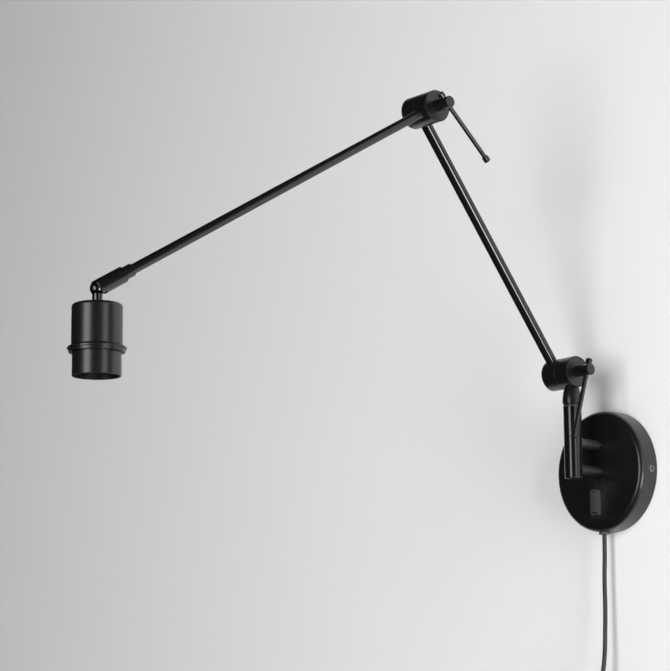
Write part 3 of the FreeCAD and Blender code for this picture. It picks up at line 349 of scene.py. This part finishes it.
for name, part in frame["nodes"].items():
    part.data.materials.clear()
    part.data.materials.append(finish_of(name))
cord_curve.materials.append(cord_cover)
print(len(SLOT_MATERIAL), "slots on", len(NODE_SLOT), "parts")

# %% [markdown]
# Machined and coated metal never has a perfectly sharp edge: the tool breaks it and the coat rounds it,
# and that fine round is what catches the light. A Bevel modifier would do it too, but the frame's mesh is
# loose triangles, so each part that shows is a finished copy made with bmesh: the copy is merged, its
# flat faces are joined up, its sharp edges are bevelled by a real width in millimetres, and everything
# else is shaded smooth.

# %% Finished copies of the parts that show
MERGE_DISTANCE = 2e-6
FLAT_ANGLE, SHARP_ANGLE, SMOOTH_ANGLE = math.radians(0.5), math.radians(28), math.radians(50)
ROUND_SEGMENTS = 2


def finished(name, width):
    """A copy of a frame part with broken edges, riding on the same body and standing for it."""
    mesh = frame["nodes"][name].data.copy()
    mesh.name = name + "_finished"
    shape = bmesh.new()
    shape.from_mesh(mesh)
    bmesh.ops.remove_doubles(shape, verts=shape.verts, dist=MERGE_DISTANCE)
    bmesh.ops.dissolve_limit(shape, angle_limit=FLAT_ANGLE, verts=shape.verts, edges=shape.edges)
    sharp = [e for e in shape.edges if len(e.link_faces) == 2 and e.calc_face_angle(0) > SHARP_ANGLE]
    bmesh.ops.bevel(shape, geom=sharp, offset=width * MM, offset_type="OFFSET", affect="EDGES",
                    segments=ROUND_SEGMENTS, profile=0.5, material=-1, clamp_overlap=True)
    for face in shape.faces:
        face.smooth = True
    for e in shape.edges:
        e.smooth = len(e.link_faces) == 2 and e.calc_face_angle(0) < SMOOTH_ANGLE
    shape.to_mesh(mesh)
    shape.free()
    mesh.materials.clear()
    mesh.materials.append(finish_of(name))
    piece = bpy.data.objects.new(name + "_finished", mesh)
    bpy.context.scene.collection.objects.link(piece)
    weigh = piece.modifiers.new("even shading", "WEIGHTED_NORMAL")
    weigh.keep_sharp = True
    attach(piece, NODE_BODY[name])
    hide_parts(name)
    return piece


EDGE_WIDTHS = {
    "canopy_cover": 0.25, "canopy_grub_screws": 0.4, "upper_standoff": 0.15, "lower_standoff": 0.15,
    "post_tube": 0.15, "post_end_cap": 0.15, "swivel_bush": 0.15, "swivel_washer": 0.15,
    "swivel_adapter": 0.2, "lower_knuckle_base_half": 0.2, "lower_knuckle_arm_half": 0.2,
    "elbow_lower_half": 0.2, "elbow_upper_half": 0.2, "lower_clamp_bolt": 0.2, "elbow_clamp_bolt": 0.2,
    "lower_tommy_bar": 0.1, "elbow_tommy_bar": 0.1, "lower_bar_caps": 0.15, "elbow_bar_caps": 0.15,
    "lower_arm_tube": 0.1,
    "upper_arm_tube": 0.1, "arm_reducer": 0.15, "ball_socket_sleeve": 0.25, "ball_stud": 0.15,
    "lampholder_cup": 0.2, "holder_collar": 0.2, "shade_ring": 0.2, "switch_housing": 0.2,
    "switch_rocker": 0.3, "cord_gland": 0.2, "plug_body": 0.8, "plug_pins": 0.3, "cord_tie": 0.3,
    "wall_plate": 0.2, "holder_core": 0.3, "lower_clamp_nut": 0.3, "elbow_clamp_nut": 0.3,
}
made = {name: finished(name, width) for name, width in EDGE_WIDTHS.items()}
print(len(made), "finished parts")

# %% [markdown]
# A lamp on a wall needs the wall: it carries the soft shadows. The floor is far below the picture. Both
# are pale and plain. Seen from behind or from below they would hide the lamp, so their backs are clear.
# What black metal mirrors is more than the picture shows: the wall is pale round the lamp, but its far
# ends and its top lie in the dark of the room, and so does the floor, so a mirrored ray meets a painted
# shade there, a dark matt colour in place of the missing light. The camera sees the wall's far ends and
# the floor as plain and pale, so that every view has a quiet backdrop. All of this is one paint with two
# masks, made once for the wall and once for the floor.

# %% Wall and floor
WALL_COLOUR, FLOOR_COLOUR = (0.82, 0.81, 0.815), (0.62, 0.62, 0.62)
# The first colour is painted shade: the dark that mirrored rays meet where the room gets no light.
PAINTED_SHADE_COLOUR, PLAIN_COLOUR = (0.04, 0.04, 0.04), (0.8, 0.8, 0.805)
PAINT_ROUGHNESS = 0.9
# Where mirrored rays meet the painted shade on the wall; the floor takes it all over.
WALL_PAINTED_SHADE = [("X", -0.7, -1.1), ("X", 0.5, 0.8), ("Z", 0.7, 1.1)]
WALL_PLAIN = [("X", -1.3, -2.2), ("X", 0.35, 1.2)]
FLOOR_PAINTED_SHADE, FLOOR_PLAIN = 1, 0.8
WALL_GAP, REACH, FLOOR_Z = 0.0005, 6.0, -1.4


def past_any(tree, axes, limits):
    """A mask of one past any of the limits, each an axis, a start and an end. A number stays as it is."""
    if isinstance(limits, (int, float)):
        return limits
    mask = 0
    for axis, start, end in limits:
        mask = math_node(tree, "MAXIMUM", mask, fade(tree, axes.outputs[axis], start, end))
    return mask


def stage_paint(name, colour, shade_mask, plain):
    """Matt paint with a painted shade, a dark matt colour, for mirrored rays past one mask, plain to the
    camera past the other, and clear from behind.
    """
    material = bpy.data.materials.new(name)
    material.use_nodes = True
    tree = material.node_tree
    paint = tree.nodes["Principled BSDF"]
    paint.inputs["Base Color"].default_value = (*colour, 1)
    paint.inputs["Roughness"].default_value = PAINT_ROUGHNESS
    rays = node(tree, "ShaderNodeLightPath")
    place = node(tree, "ShaderNodeNewGeometry")
    axes = node(tree, "ShaderNodeSeparateXYZ")
    link(tree, place.outputs["Position"], axes.inputs["Vector"])
    # Painted shade: past these limits a mirrored ray meets a dark matt colour instead of the lit paint.
    shade_mask = math_node(tree, "MULTIPLY", rays.outputs["Is Glossy Ray"], past_any(tree, axes, shade_mask))
    shade = node(tree, "ShaderNodeBsdfDiffuse", {"Color": (*PAINTED_SHADE_COLOUR, 1)})
    dimmed = mix_shader(tree, shade_mask, paint, shade)
    plain = math_node(tree, "MULTIPLY", rays.outputs["Is Camera Ray"], past_any(tree, axes, plain))
    even = node(tree, "ShaderNodeEmission", {"Color": (*PLAIN_COLOUR, 1)})
    evened = mix_shader(tree, plain, dimmed, even)
    clear = node(tree, "ShaderNodeBsdfTransparent")
    surface = mix_shader(tree, place.outputs["Backfacing"], evened, clear)
    link(tree, surface.outputs[0], tree.nodes["Material Output"].inputs["Surface"])
    return material


def stage_plane(name, corners, material):
    """A flat sheet of the stage that faces the side from which its corners run anticlockwise."""
    shape = bmesh.new()
    shape.faces.new([shape.verts.new(c) for c in corners])
    mesh = bpy.data.meshes.new(name)
    shape.to_mesh(mesh)
    shape.free()
    mesh.materials.append(material)
    plane = bpy.data.objects.new(name, mesh)
    bpy.context.scene.collection.objects.link(plane)
    return plane


wall_paint = stage_paint("wall_paint", WALL_COLOUR, WALL_PAINTED_SHADE, WALL_PLAIN)
floor_paint = stage_paint("floor_paint", FLOOR_COLOUR, FLOOR_PAINTED_SHADE, FLOOR_PLAIN)
stage_plane("wall", [(-REACH, WALL_GAP, FLOOR_Z), (REACH, WALL_GAP, FLOOR_Z), (REACH, WALL_GAP, REACH),
                     (-REACH, WALL_GAP, REACH)], wall_paint)
stage_plane("floor", [(-REACH, -REACH, FLOOR_Z), (REACH, -REACH, FLOOR_Z), (REACH, REACH, FLOOR_Z),
                      (-REACH, REACH, FLOOR_Z)], floor_paint)
print("wall and floor", 2 * REACH, "m wide")

# %% [markdown]
# Black metal is drawn by what it mirrors. Two windows light this room, one straight in front of the wall
# and one along it from the right, whose sill is sunlit. The rest of the room is dark. So the world is
# pale for the camera and dark for everything else, and each window is a soft area light that shows as a
# bright line on every round part. Most of a window's light comes through its curtain, which lights things
# but shines in no highlight, so each window is two lights: one that gloss mirrors, and one that it doesn't.

# %% Light
LAMP_MIDDLE = Vector((0, -0.25, 0.1))
SKY, CURTAIN, CREAM = (0.95, 0.985, 1.0), (1.0, 0.975, 0.98), (1.0, 0.99, 0.985)


def area_light(name, place, power, width, height, colour, mirrored):
    """A soft window aimed at the lamp, unseen by the camera, that gloss mirrors or not."""
    lamp = bpy.data.lights.new(name, "AREA")
    lamp.shape = "RECTANGLE"
    lamp.size, lamp.size_y = width, height
    lamp.energy = power
    lamp.color = colour
    held = bpy.data.objects.new(name, lamp)
    bpy.context.scene.collection.objects.link(held)
    held.location = place
    held.rotation_euler = (LAMP_MIDDLE - Vector(place)).to_track_quat("-Z", "Y").to_euler()
    held.visible_camera = False
    held.visible_glossy = mirrored


# name, place, watts, width, height, colour, mirrored by gloss
WINDOWS = [("front_window", (0.42, -2.8, 0.05), 24, 1.2, 1.7, SKY, True),
           ("front_curtain", (0.6, -2.8, 0.05), 34, 1.1, 2.0, CURTAIN, False),
           ("right_window", (1.7, -0.45, 0.1), 6.5, 0.65, 2.0, CREAM, True),
           ("right_curtain", (2.4, -0.5, 0.1), 57, 0.9, 2.7, CREAM, False),
           ("sunlit_sill", (2.5, -0.65, -0.8), 20, 0.8, 0.8, CREAM, True)]
for window in WINDOWS:
    area_light(*window)

ROOM_FOR_CAMERA, ROOM_DIM, ROOM_DIM_STRENGTH = (0.86, 0.86, 0.87, 1), (0.95, 0.97, 1.0, 1), 0.03
world = bpy.data.worlds.new("room")
bpy.context.scene.world = world
world.use_nodes = True
tree = world.node_tree
seen = tree.nodes["Background"]
seen.inputs["Color"].default_value = ROOM_FOR_CAMERA
dim = node(tree, "ShaderNodeBackground", {"Color": ROOM_DIM, "Strength": ROOM_DIM_STRENGTH})
rays = node(tree, "ShaderNodeLightPath")
room = mix_shader(tree, rays.outputs["Is Camera Ray"], dim, seen)
link(tree, room.outputs[0], tree.nodes["World Output"].inputs["Surface"])

bpy.context.scene.view_settings.view_transform = "Standard"
print(len(WINDOWS), "lights")
